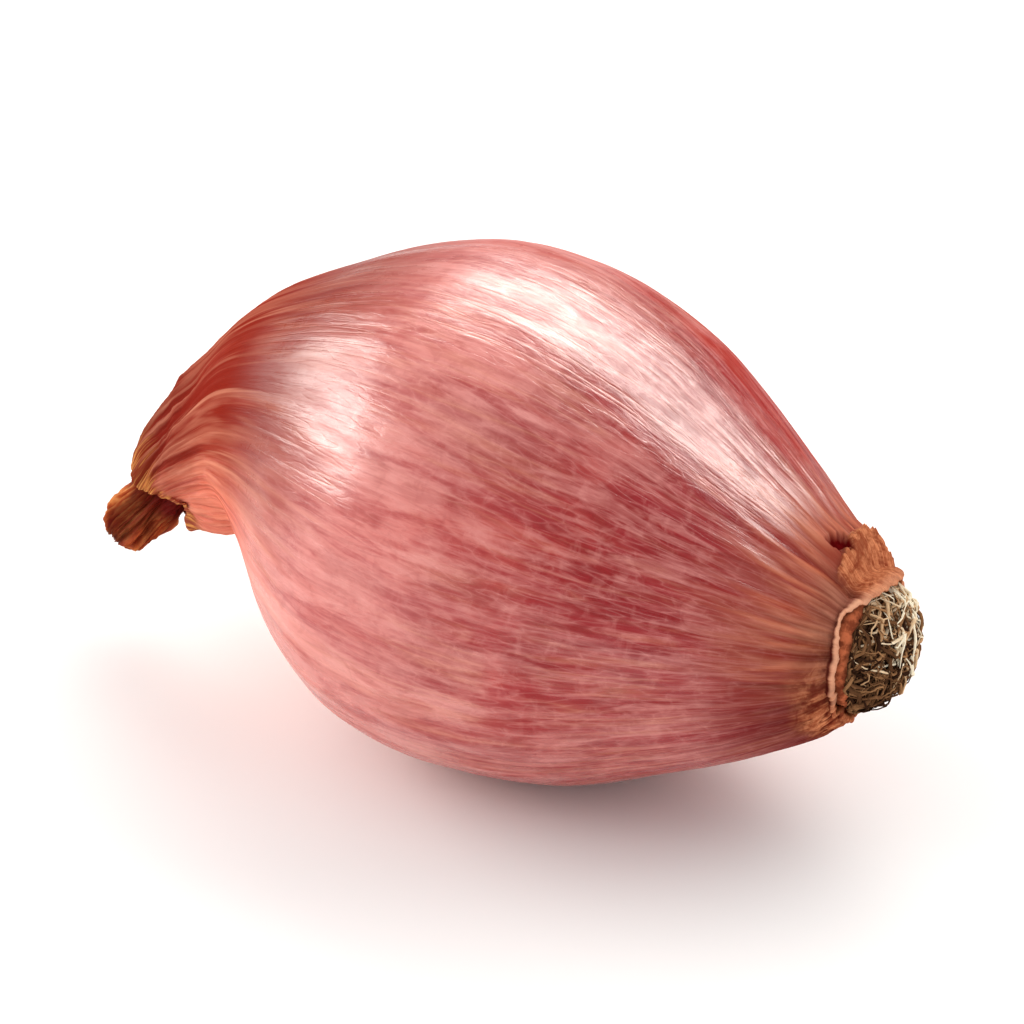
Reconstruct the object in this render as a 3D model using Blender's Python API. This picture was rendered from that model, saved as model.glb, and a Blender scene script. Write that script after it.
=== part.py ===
# One long pink shallot, lying on its belly as it comes to rest on a table.
# Two pieces: the bulb in its skin, with the dried neck, and the root plate with its dry roots.
# Metres, +Z up. The origin is the middle of the flat spot under the belly, and +X points to the root end.

import math
import random

import bmesh
import bpy
from mathutils import Vector

MM = 0.001

# The bulb follows a bent middle line, from the seat of the root plate to the tip of the neck.
BELLY_RADIUS = 21.5 * MM
LINE_LENGTH = 77.8 * MM
# Share of the line's length, and the radius there as a share of the belly radius.
RADIUS_SHARES = (
    (0.000, 0.290),
    (0.008, 0.336),
    (0.019, 0.377),
    (0.032, 0.414),
    (0.063, 0.490),
    (0.093, 0.560),
    (0.170, 0.712),
    (0.274, 0.893),
    (0.377, 0.984),
    (0.454, 1.000),
    (0.531, 0.958),
    (0.608, 0.821),
    (0.685, 0.602),
    (0.750, 0.402),
    (0.800, 0.335),
    (0.846, 0.272),
    (0.882, 0.212),
)
# Share of the line's length, and how far the line climbs there, in degrees. The neck droops.
CLIMB_DEG = (
    (0.000, 0.0),
    (0.048, 1.0),
    (0.110, 2.5),
    (0.235, 4.8),
    (0.448, 8.0),
    (0.641, 0.7),
    (0.758, -32.0),
    (0.836, -38.0),
    (0.903, -49.0),
    (1.000, -50.0),
)
LINE_STEPS = 400

# The cross-section isn't quite round: turns of the wave, its share of the radius, and where it crests.
LOBES = ((2, 0.010, 1.1), (3, 0.011, 0.4), (5, 0.004, 2.0))
AROUND = 48

# Pleats of skin gather at both ends.
ROOT_PLEATS = 12
ROOT_PLEAT_SHARE = 0.030
ROOT_PLEAT_REACH = 13.0 * MM
NECK_PLEATS = 6
NECK_PLEAT_SHARE = 0.20
NECK_PLEAT_START = 0.709
NECK_TWIST = 0.9

# The outer sheath of the neck ends in a torn rim, and a dried nub of inner leaves comes out of it.
SHEATH_END = 0.882
SHEATH_RAGGED = 0.9 * MM
NUB_RADII = (
    (0.896, 2.8 * MM),
    (0.927, 2.7 * MM),
    (0.956, 2.9 * MM),
    (0.981, 2.6 * MM),
    (1.000, 1.7 * MM),
)
NUB_PLEAT_SHARE = 0.14

# The skin ends round the root plate in a thin torn collar.
SEAT_RADIUS = 5.3 * MM
SEAT_DEPTH = 0.4 * MM
COLLAR_HEIGHT = 0.7 * MM
COLLAR_RAGGED = 0.4 * MM
COLLAR_WALL = 0.65 * MM
# Share of the collar's height that its outer side reaches. The rim slopes up from there to the inner side.
COLLAR_OUTER_SHARE = 0.9
COLLAR_WAVES = ((3, 0.4, 0.5), (5, 0.35, 2.1), (8, 0.25, 4.0))
# One flap of it stands further out at the top, and leans in over the plate.
FLAP_HEIGHT = 1.8 * MM
FLAP_NARROW = 5.0
FLAP_LEAN = 0.2 * MM

# Rings of the bulb, as shares of the line's length.
END_RINGS = (0.001, 0.009, 0.018, 0.028)
BODY_RINGS = 31
BODY_RINGS_FROM = 0.042
NECK_RINGS_FROM = 0.729
NECK_RINGS = 9

# The belly is pressed flat where it rests.
REST_SPOT_DEPTH = 0.35 * MM

# Root plate: a low dome of dead stem, with short dry roots curled over it.
PLATE_GAP = 0.3 * MM
PLATE_RADIUS = 4.9 * MM
PLATE_EDGE = 0.4 * MM
DOME_HEIGHT = 2.6 * MM
PLATE_DOME_RINGS = 6
ROOT_COUNT = 54
ROOT_RADIUS = (0.48 * MM, 0.70 * MM)
ROOT_TIP_SHARE = 0.6
ROOT_LENGTH = (2.2 * MM, 4.2 * MM)
# How deep a root starts in the dome, and how far its tip lifts off it.
ROOT_SUNK = 0.5 * MM
ROOT_LIFT = (0.2 * MM, 1.0 * MM)
ROOT_LIFT_FROM = 0.3
ROOT_CURL = 1.3
# Share of the plate's radius that the roots cover, and how much less of it lies under the flap.
ROOT_SPREAD = 0.90
ROOT_SPREAD_LOST = 0.2
# Radians that a root starts off its place in the spiral, at most.
ROOT_STRAY = 0.25
ROOT_SIDES = 5
ROOT_RINGS = 6
ROOT_SEED = 11
GOLDEN_ANGLE = math.pi * (3.0 - math.sqrt(5.0))

SKIN_COLOUR = (0.60, 0.17, 0.13)
SKIN_ROUGHNESS = 0.35
ROOT_COLOUR = (0.36, 0.24, 0.13)
ROOT_ROUGHNESS = 0.85
# Edges that turn more than this are shown sharp.
SHARP_DEG = 50


def through(stations, place):
    """A smooth curve through the stations, read at place."""
    last = len(stations) - 1
    spot = next((i for i in range(last) if place <= stations[i + 1][0]), last - 1)

    def slope(i):
        before, after = stations[max(i - 1, 0)], stations[min(i + 1, last)]
        return (after[1] - before[1]) / (after[0] - before[0])

    (start, low), (end, high) = stations[spot], stations[spot + 1]
    step = end - start
    t = min(max((place - start) / step, 0.0), 1.0)
    return (
        (2 * t**3 - 3 * t**2 + 1) * low
        + (t**3 - 2 * t**2 + t) * step * slope(spot)
        + (-2 * t**3 + 3 * t**2) * high
        + (t**3 - t**2) * step * slope(spot + 1)
    )


def ease(low, high, value):
    """0 below low, 1 above high, and smooth between them."""
    t = min(max((value - low) / (high - low), 0.0), 1.0)
    return t * t * (3 - 2 * t)


def middle_line():
    """Points of the bulb's middle line, from the root seat at the origin towards -X."""
    points = [Vector((0, 0, 0))]
    step = LINE_LENGTH / LINE_STEPS
    for i in range(LINE_STEPS):
        climb = math.radians(through(CLIMB_DEG, (i + 0.5) / LINE_STEPS))
        points.append(points[-1] + step * Vector((-math.cos(climb), 0, math.sin(climb))))
    return points


LINE = middle_line()


def on_line(share):
    """The point of the middle line at a share of its length. Below 0 it runs straight on past the seat."""
    if share <= 0:
        return Vector((-share * LINE_LENGTH, 0, 0))
    spot = min(share, 1.0) * LINE_STEPS
    low = min(int(spot), LINE_STEPS - 1)
    return LINE[low].lerp(LINE[low + 1], spot - low)


def ring_point(share, angle, radius):
    """A point of the ring that stands square to the middle line. Angle 0 is its top."""
    climb = math.radians(through(CLIMB_DEG, max(share, 0.0)))
    up = Vector((math.sin(climb), 0, math.cos(climb)))
    side = Vector((0, 1, 0))
    return on_line(share) + radius * (math.cos(angle) * up + math.sin(angle) * side)


def lobed(angle):
    return 1 + sum(depth * math.cos(turns * angle - crest) for turns, depth, crest in LOBES)


def pleated(share, angle):
    """The share of the radius that the gathered skin leaves at both ends."""
    root = ROOT_PLEAT_SHARE * (1 - ease(0, ROOT_PLEAT_REACH / LINE_LENGTH, share))
    neck = NECK_PLEAT_SHARE * ease(NECK_PLEAT_START, SHEATH_END, share)
    turned = angle + NECK_TWIST * ease(NECK_PLEAT_START, 1.0, share)
    return 1 - root * (0.5 - 0.5 * math.cos(ROOT_PLEATS * angle)) - neck * (
        0.5 - 0.5 * math.cos(NECK_PLEATS * turned)
    )


def skin_point(share, angle):
    radius = BELLY_RADIUS * through(RADIUS_SHARES, share)
    return ring_point(share, angle, radius * lobed(angle) * pleated(share, angle))


def collar_wave(angle):
    return sum(depth * math.sin(turns * angle + crest) for turns, depth, crest in COLLAR_WAVES)


def flap_share(angle):
    return math.exp(-FLAP_NARROW * (1 - math.cos(angle)))


def ring(point_at):
    return [point_at(2 * math.pi * i / AROUND) for i in range(AROUND)]


def collar_rings():
    """From the seat of the root plate, up the inside of the torn collar and over its rim."""

    def rim_point(angle, height, inset):
        flap = flap_share(angle)
        past_seat = COLLAR_HEIGHT + COLLAR_RAGGED * collar_wave(angle) + FLAP_HEIGHT * flap
        radius = BELLY_RADIUS * RADIUS_SHARES[0][1] * lobed(angle) * pleated(0, angle)
        return ring_point(-height * past_seat / LINE_LENGTH, angle, radius - FLAP_LEAN * flap - inset)

    floor = SEAT_DEPTH / LINE_LENGTH
    yield ring(lambda angle: ring_point(floor, angle, SEAT_RADIUS))
    yield ring(lambda angle: rim_point(angle, 1.0, COLLAR_WALL))
    yield ring(lambda angle: rim_point(angle, COLLAR_OUTER_SHARE, 0.0))


def body_rings():
    """The skin from behind the collar to the torn rim of the neck's sheath."""
    places = list(END_RINGS)
    places += [
        BODY_RINGS_FROM + (NECK_RINGS_FROM - BODY_RINGS_FROM) * i / BODY_RINGS for i in range(BODY_RINGS)
    ]
    places += [
        NECK_RINGS_FROM + (SHEATH_END - NECK_RINGS_FROM) * i / NECK_RINGS for i in range(NECK_RINGS)
    ]
    for share in places:
        yield ring(lambda angle: skin_point(share, angle))
    ragged = SHEATH_RAGGED / LINE_LENGTH
    yield ring(lambda angle: skin_point(SHEATH_END + ragged * collar_wave(angle), angle))


def nub_rings():
    """The dried inner leaves, folded as the sheath is."""
    for share, radius in NUB_RADII:
        turned = NECK_TWIST * ease(NECK_PLEAT_START, 1.0, share)

        def folded(angle):
            fold = NUB_PLEAT_SHARE * math.cos(NECK_PLEATS * (angle + turned))
            return ring_point(share, angle, radius * (1 + fold))

        yield ring(folded)


def lofted(name, rings):
    """A closed mesh over rings of points, with a flat cap on the first and the last."""
    bm = bmesh.new()
    loops = [[bm.verts.new(point) for point in points] for points in rings]
    count = len(loops[0])
    for near, far in zip(loops, loops[1:]):
        for i in range(count):
            j = (i + 1) % count
            bm.faces.new((near[i], near[j], far[j], far[i]))
    bm.faces.new(reversed(loops[0]))
    bm.faces.new(loops[-1])
    bmesh.ops.recalc_face_normals(bm, faces=bm.faces)
    return named_object(name, bm)


def named_object(name, bm):
    mesh = bpy.data.meshes.new(name)
    bm.to_mesh(mesh)
    bm.free()
    made = bpy.data.objects.new(name, mesh)
    bpy.context.scene.collection.objects.link(made)
    return made


def press_flat(bulb):
    """Cuts the flat resting spot, and returns its middle."""
    bm = bmesh.new()
    bm.from_mesh(bulb.data)
    lowest = min(vert.co.z for vert in bm.verts)
    level = Vector((0, 0, lowest + REST_SPOT_DEPTH))
    cut = bmesh.ops.bisect_plane(
        bm,
        geom=[*bm.verts, *bm.edges, *bm.faces],
        plane_co=level,
        plane_no=(0, 0, -1),
        clear_outer=True,
    )
    rim = [item for item in cut["geom_cut"] if isinstance(item, bmesh.types.BMEdge)]
    spot = bmesh.ops.holes_fill(bm, edges=rim)["faces"][0]
    middle = spot.calc_center_median()
    bmesh.ops.recalc_face_normals(bm, faces=bm.faces)
    bm.to_mesh(bulb.data)
    bm.free()
    return middle


def make_bulb():
    bulb = lofted("bulb", [*collar_rings(), *body_rings(), *nub_rings()])
    rest_spot = press_flat(bulb)
    bulb.data.shade_smooth()
    bulb.data.set_sharp_from_angle(angle=math.radians(SHARP_DEG))
    bulb.data.materials.append(finish("pink_skin", SKIN_COLOUR, SKIN_ROUGHNESS))
    return bulb, rest_spot


def dome_point(y, z, lift):
    """The point at a height over the dome, square to it."""
    outward = min(math.hypot(y, z) / PLATE_RADIUS, 1.0)
    rise = math.sqrt(1 - outward * outward)
    square = Vector((rise / DOME_HEIGHT, y / PLATE_RADIUS**2, z / PLATE_RADIUS**2))
    square.normalize()
    return Vector((PLATE_EDGE + DOME_HEIGHT * rise, y, z)) + lift * square


def make_plate_dome():
    """The low dome, turned about the X axis."""
    sides = AROUND // 2
    angles = [2 * math.pi * i / sides for i in range(sides)]
    directions = [(math.sin(angle), math.cos(angle)) for angle in angles]
    base = PLATE_GAP - SEAT_DEPTH
    rings = [[Vector((base, PLATE_RADIUS * y, PLATE_RADIUS * z)) for y, z in directions]]
    for i in range(PLATE_DOME_RINGS):
        radius = PLATE_RADIUS * math.cos(0.5 * math.pi * i / PLATE_DOME_RINGS)
        rings.append([dome_point(radius * y, radius * z, 0) for y, z in directions])
    return lofted("root_plate", rings)


def root_path(draw, index):
    """The middle line of one dry root, which starts in the dome and curls over it."""
    around = index * GOLDEN_ANGLE + draw.uniform(-ROOT_STRAY, ROOT_STRAY)
    spread = ROOT_SPREAD - ROOT_SPREAD_LOST * flap_share(around)
    outward = PLATE_RADIUS * spread * math.sqrt((index + 0.5) / ROOT_COUNT)
    y, z = outward * math.sin(around), outward * math.cos(around)
    heading = draw.uniform(0, 2 * math.pi)
    curl = draw.uniform(-ROOT_CURL, ROOT_CURL)
    step = draw.uniform(*ROOT_LENGTH) / (ROOT_RINGS - 1)
    lift = draw.uniform(*ROOT_LIFT)
    path = []
    for i in range(ROOT_RINGS):
        t = i / (ROOT_RINGS - 1)
        path.append(dome_point(y, z, lift * ease(ROOT_LIFT_FROM, 1.0, t) - ROOT_SUNK * (1 - t) ** 3))
        y += step * math.cos(heading + curl * t)
        z += step * math.sin(heading + curl * t)
        past = math.hypot(y, z) / (spread * PLATE_RADIUS)
        if past > 1:
            y, z = y / past, z / past
    return path


def make_root(name, path, radius):
    """One tapered dry root along its path."""
    rings = []
    for i, point in enumerate(path):
        ahead = path[min(i + 1, len(path) - 1)] - path[max(i - 1, 0)]
        across = ahead.cross(Vector((1, 0, 0)))
        across.normalize()
        over = ahead.cross(across)
        over.normalize()
        thick = radius * (1 - (1 - ROOT_TIP_SHARE) * i / (len(path) - 1))
        angles = [2 * math.pi * k / ROOT_SIDES for k in range(ROOT_SIDES)]
        rings.append([point + thick * (math.cos(a) * across + math.sin(a) * over) for a in angles])
    return lofted(name, rings)


def fill_pockets(mesh):
    """Keeps the outer shell only, so that pockets closed in between crossing roots are solid."""
    bm = bmesh.new()
    bm.from_mesh(mesh)
    waiting = set(bm.verts)
    shells = []
    while waiting:
        front = [waiting.pop()]
        shell = set(front)
        while front:
            for edge in front.pop().link_edges:
                for vert in edge.verts:
                    if vert not in shell:
                        shell.add(vert)
                        front.append(vert)
        waiting -= shell
        shells.append(shell)
    shells.sort(key=len)
    for shell in shells[:-1]:
        bmesh.ops.delete(bm, geom=list(shell), context="VERTS")
    bm.to_mesh(mesh)
    bm.free()


def make_root_plate():
    """The dome with every dry root fused to it by one union."""
    plate = make_plate_dome()
    draw = random.Random(ROOT_SEED)
    roots = bpy.data.collections.new("dry_roots")
    bpy.context.scene.collection.children.link(roots)
    for index in range(ROOT_COUNT):
        path = root_path(draw, index)
        root = make_root(f"dry_root_{index:02d}", path, draw.uniform(*ROOT_RADIUS))
        bpy.context.scene.collection.objects.unlink(root)
        roots.objects.link(root)
    join = plate.modifiers.new("join_roots", "BOOLEAN")
    join.operation = "UNION"
    join.operand_type = "COLLECTION"
    join.collection = roots
    join.solver = "EXACT"
    graph = bpy.context.evaluated_depsgraph_get()
    joined = bpy.data.meshes.new_from_object(plate.evaluated_get(graph))
    fill_pockets(joined)
    plate.modifiers.clear()
    plate.data = joined
    for root in list(roots.objects):
        bpy.data.objects.remove(root)
    bpy.data.collections.remove(roots)
    plate.data.materials.clear()
    plate.data.materials.append(finish("dry_root", ROOT_COLOUR, ROOT_ROUGHNESS))
    return plate


def finish(name, colour, roughness):
    material = bpy.data.materials.new(name)
    material.use_nodes = True
    shader = material.node_tree.nodes["Principled BSDF"]
    shader.inputs["Base Color"].default_value = (*colour, 1.0)
    shader.inputs["Roughness"].default_value = roughness
    shader.inputs["Metallic"].default_value = 0.0
    return material


def main():
    for old in list(bpy.data.objects):
        bpy.data.objects.remove(old)
    bulb, rest_spot = make_bulb()
    root_plate = make_root_plate()
    shallot = bpy.data.objects.new("shallot", None)
    bpy.context.scene.collection.objects.link(shallot)
    shallot.location = -rest_spot
    for piece in (bulb, root_plate):
        piece.parent = shallot


main()
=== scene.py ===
import math

import bmesh
import bpy
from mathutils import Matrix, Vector


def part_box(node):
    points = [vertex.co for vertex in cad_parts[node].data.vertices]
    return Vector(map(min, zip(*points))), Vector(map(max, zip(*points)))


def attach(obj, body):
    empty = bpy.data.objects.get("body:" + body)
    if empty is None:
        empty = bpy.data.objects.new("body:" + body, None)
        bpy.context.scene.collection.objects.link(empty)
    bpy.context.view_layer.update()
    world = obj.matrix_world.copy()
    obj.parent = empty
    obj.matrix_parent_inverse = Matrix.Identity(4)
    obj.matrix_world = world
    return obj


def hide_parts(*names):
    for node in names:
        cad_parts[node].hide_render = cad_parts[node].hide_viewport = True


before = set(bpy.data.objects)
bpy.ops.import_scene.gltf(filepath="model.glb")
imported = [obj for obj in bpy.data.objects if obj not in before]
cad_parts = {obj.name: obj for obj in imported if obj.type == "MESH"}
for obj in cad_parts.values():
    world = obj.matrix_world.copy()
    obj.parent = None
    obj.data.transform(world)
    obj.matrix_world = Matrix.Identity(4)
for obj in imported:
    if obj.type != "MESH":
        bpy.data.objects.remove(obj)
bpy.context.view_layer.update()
print("frame: loaded")

mm = 0.001


# Node trees are written as sums: a Wire is a socket that adds its Math node when it meets an operator.

class Wire:
    def __init__(self, maker, socket):
        self.maker = maker
        self.socket = socket

    def maths(self, operation, *others):
        return self.maker.maths(operation, self, *others)

    def __add__(self, other):
        return self.maths("ADD", other)

    def __sub__(self, other):
        return self.maths("SUBTRACT", other)

    def __rsub__(self, other):
        return self.maker.maths("SUBTRACT", other, self)

    def __mul__(self, other):
        return self.maths("MULTIPLY", other)

    def __truediv__(self, other):
        return self.maths("DIVIDE", other)

    def __rtruediv__(self, other):
        return self.maker.maths("DIVIDE", other, self)

    def __pow__(self, other):
        return self.maths("POWER", other)

    __radd__ = __add__
    __rmul__ = __mul__


class NodeMaker:
    def __init__(self, tree):
        self.tree = tree

    # settings come first, because they decide which sockets a node has
    def add(self, kind, settings=None, values=None, out=0):
        node = self.tree.nodes.new(kind)
        for name, value in (settings or {}).items():
            if name == "stops":
                fillRamp(node.color_ramp, value)
            else:
                setattr(node, name, value)
        for key, value in (values or {}).items():
            if isinstance(value, Wire):
                self.tree.links.new(value.socket, node.inputs[key])
            else:
                node.inputs[key].default_value = value
        if isinstance(out, tuple):
            return tuple(Wire(self, node.outputs[name]) for name in out)
        return Wire(self, node.outputs[out])

    def maths(self, operation, *values):
        return self.add("ShaderNodeMath", {"operation": operation}, dict(enumerate(values)))

    def vector(self, operation, *values):
        return self.add("ShaderNodeVectorMath", {"operation": operation}, dict(enumerate(values)))

    def joined(self, x, y, z):
        return self.add("ShaderNodeCombineXYZ", None, {0: x, 1: y, 2: z})

    def parted(self, vector):
        return self.add("ShaderNodeSeparateXYZ", None, {0: vector}, out=("X", "Y", "Z"))

    # 0 at low, 1 at high and smooth in between; low may be the greater
    def ease(self, low, high, value):
        return self.add(
            "ShaderNodeMapRange",
            {"interpolation_type": "SMOOTHSTEP"},
            {"Value": value, "From Min": low, "From Max": high},
        )

    # rises between the first two places and falls between the last two
    def between(self, places, value):
        return self.ease(*places[:2], value) * (1 - self.ease(*places[2:], value))

    # 1 where a noise is at its middle, less on both sides: raised to a power, it makes narrow lines
    def crest(self, noise):
        return 1 - self.maths("ABSOLUTE", noise * 2 - 1)

    # each value times its weight, added up
    def weighed(self, weights, *values):
        return sum(value * weight for value, weight in zip(values, weights))

    # grain is the noise's detail, roughness and distortion
    def noise(self, place, scale=1.0, grain=(2.0, 0.5, 0.0)):
        detail, roughness, distortion = grain
        return self.add("ShaderNodeTexNoise", None, {
            "Vector": place, "Scale": scale, "Detail": detail,
            "Roughness": roughness, "Distortion": distortion,
        })


def fillRamp(ramp, stops):
    while len(ramp.elements) < len(stops):
        ramp.elements.new(1.0)
    for element, (place, colour) in zip(ramp.elements, stops):
        element.position = place
        element.color = colour


# The bulb follows a bent line from the seat of the root plate to the tip of the neck.
# Its sizes are those of the solids.
line = {
    "length": 77.8 * mm,
    "bellyRadius": 21.5 * mm,
    "pastSeat": 0.08,  # share of the length that the line runs on, straight, past the seat
    "pastTip": 0.05,
    "steps": 400,
    # share of the length, radius as a share of the belly's
    "radii": (
        (0.000, 0.290), (0.008, 0.336), (0.019, 0.377), (0.032, 0.414), (0.063, 0.490), (0.093, 0.560),
        (0.170, 0.712), (0.274, 0.893), (0.377, 0.984), (0.454, 1.000), (0.531, 0.958), (0.608, 0.821),
        (0.685, 0.602), (0.750, 0.402), (0.800, 0.335), (0.846, 0.272), (0.882, 0.212),
    ),
    # share of the length, climb of the line in degrees
    "climbs": (
        (0.000, 0.0), (0.048, 1.0), (0.110, 2.5), (0.235, 4.8), (0.448, 8.0),
        (0.641, 0.7), (0.758, -32.0), (0.836, -38.0), (0.903, -49.0), (1.000, -50.0),
    ),
    "restSpotDepth": 0.35 * mm,
    "seatDepth": 0.4 * mm,
    "plateGap": 0.3 * mm,
}


# A smooth curve through the stations, read at one place.
def through(stations, place):
    last = len(stations) - 1
    spot = next((i for i in range(last) if place <= stations[i + 1][0]), last - 1)

    def slope(i):
        before, after = stations[max(i - 1, 0)], stations[min(i + 1, last)]
        return (after[1] - before[1]) / (after[0] - before[0])

    (start, low), (end, high) = stations[spot], stations[spot + 1]
    step = end - start
    t = min(max((place - start) / step, 0.0), 1.0)
    return (
        (2 * t**3 - 3 * t**2 + 1) * low
        + (t**3 - 2 * t**2 + t) * step * slope(spot)
        + (-2 * t**3 + 3 * t**2) * high
        + (t**3 - t**2) * step * slope(spot + 1)
    )


def ease(low, high, value):
    t = min(max((value - low) / (high - low), 0.0), 1.0)
    return t * t * (3 - 2 * t)


def radiusAt(place):
    return line["bellyRadius"] * through(line["radii"], place)


def climbAt(place):
    return math.radians(through(line["climbs"], min(max(place, 0.0), 1.0)))


def walkLine():
    step = line["length"] / line["steps"]
    points = [Vector((line["pastSeat"] * line["length"], 0, 0)), Vector((0, 0, 0))]
    extra = round(line["pastTip"] * line["steps"])
    for i in range(line["steps"] + extra):
        climb = climbAt((i + 0.5) / line["steps"])
        points.append(points[-1] + step * Vector((-math.cos(climb), 0, math.sin(climb))))
    return points


def lobedAt(angle):
    return 1 + sum(depth * math.cos(turns * angle - crest) for turns, depth, crest in skin["lobes"])


# Lets the skin rest on its flat spot, and sets it end to end where the solids are.
def seatOfLine(points):
    lowest = 0.0
    for i, point in enumerate(points[1:]):
        place = i / line["steps"]
        if place < line["radii"][-1][0]:
            below = radiusAt(place) * lobedAt(math.pi) * math.cos(climbAt(place))
            lowest = min(lowest, point.z - below)
    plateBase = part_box("root_plate")[0].x
    return Vector((plateBase + line["seatDepth"] - line["plateGap"], 0, -lowest - line["restSpotDepth"]))


def makeLineObject(points):
    curve = bpy.data.curves.new("middleLine", "CURVE")
    curve.dimensions = "3D"
    spline = curve.splines.new("POLY")
    spline.points.add(len(points) - 1)
    for slot, point in zip(spline.points, points):
        slot.co = (*point, 1.0)
    made = bpy.data.objects.new("middleLine", curve)
    bpy.context.scene.collection.objects.link(made)
    return made


socketKinds = {
    float: "NodeSocketFloat",
    int: "NodeSocketInt",
    bpy.types.Object: "NodeSocketObject",
    bpy.types.Material: "NodeSocketMaterial",
}


# host carries the mesh that the tree starts from, and ends as the plain mesh that the tree makes of it
def grow(name, hostMesh, buildTree, sizes):
    tree = bpy.data.node_groups.new(name + "Tree", "GeometryNodeTree")
    tree.interface.new_socket("Geometry", in_out="INPUT", socket_type="NodeSocketGeometry")
    tree.interface.new_socket("Geometry", in_out="OUTPUT", socket_type="NodeSocketGeometry")
    identifiers = {}
    for label, value in sizes.items():
        socket = tree.interface.new_socket(label, in_out="INPUT", socket_type=socketKinds[type(value)])
        identifiers[label] = socket.identifier
    maker = NodeMaker(tree)
    labels = ("Geometry", *sizes)
    given = dict(zip(labels, maker.add("NodeGroupInput", out=labels)))
    made = buildTree(maker, given)
    made = maker.add("GeometryNodeRealizeInstances", None, {"Geometry": made})
    made = maker.add("GeometryNodeSetMaterial", None, {"Geometry": made, "Material": given["Material"]})
    maker.add("NodeGroupOutput", None, {"Geometry": made}, out=())
    host = bpy.data.objects.new(name, hostMesh)
    bpy.context.scene.collection.objects.link(host)
    modifier = host.modifiers.new("grow", "NODES")
    modifier.node_group = tree
    for label, value in sizes.items():
        modifier[identifiers[label]] = value
    graph = bpy.context.evaluated_depsgraph_get()
    mesh = bpy.data.meshes.new_from_object(host.evaluated_get(graph), depsgraph=graph)
    host.modifiers.clear()
    host.data = mesh
    print(f"{name}: {sum(len(face.vertices) - 2 for face in mesh.polygons)} triangles")
    return host


def storeValue(maker, geometry, label, value, kind="FLOAT"):
    return maker.add(
        "GeometryNodeStoreNamedAttribute",
        {"data_type": kind, "domain": "POINT"},
        {"Geometry": geometry, "Name": label, "Value": value},
    )


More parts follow.
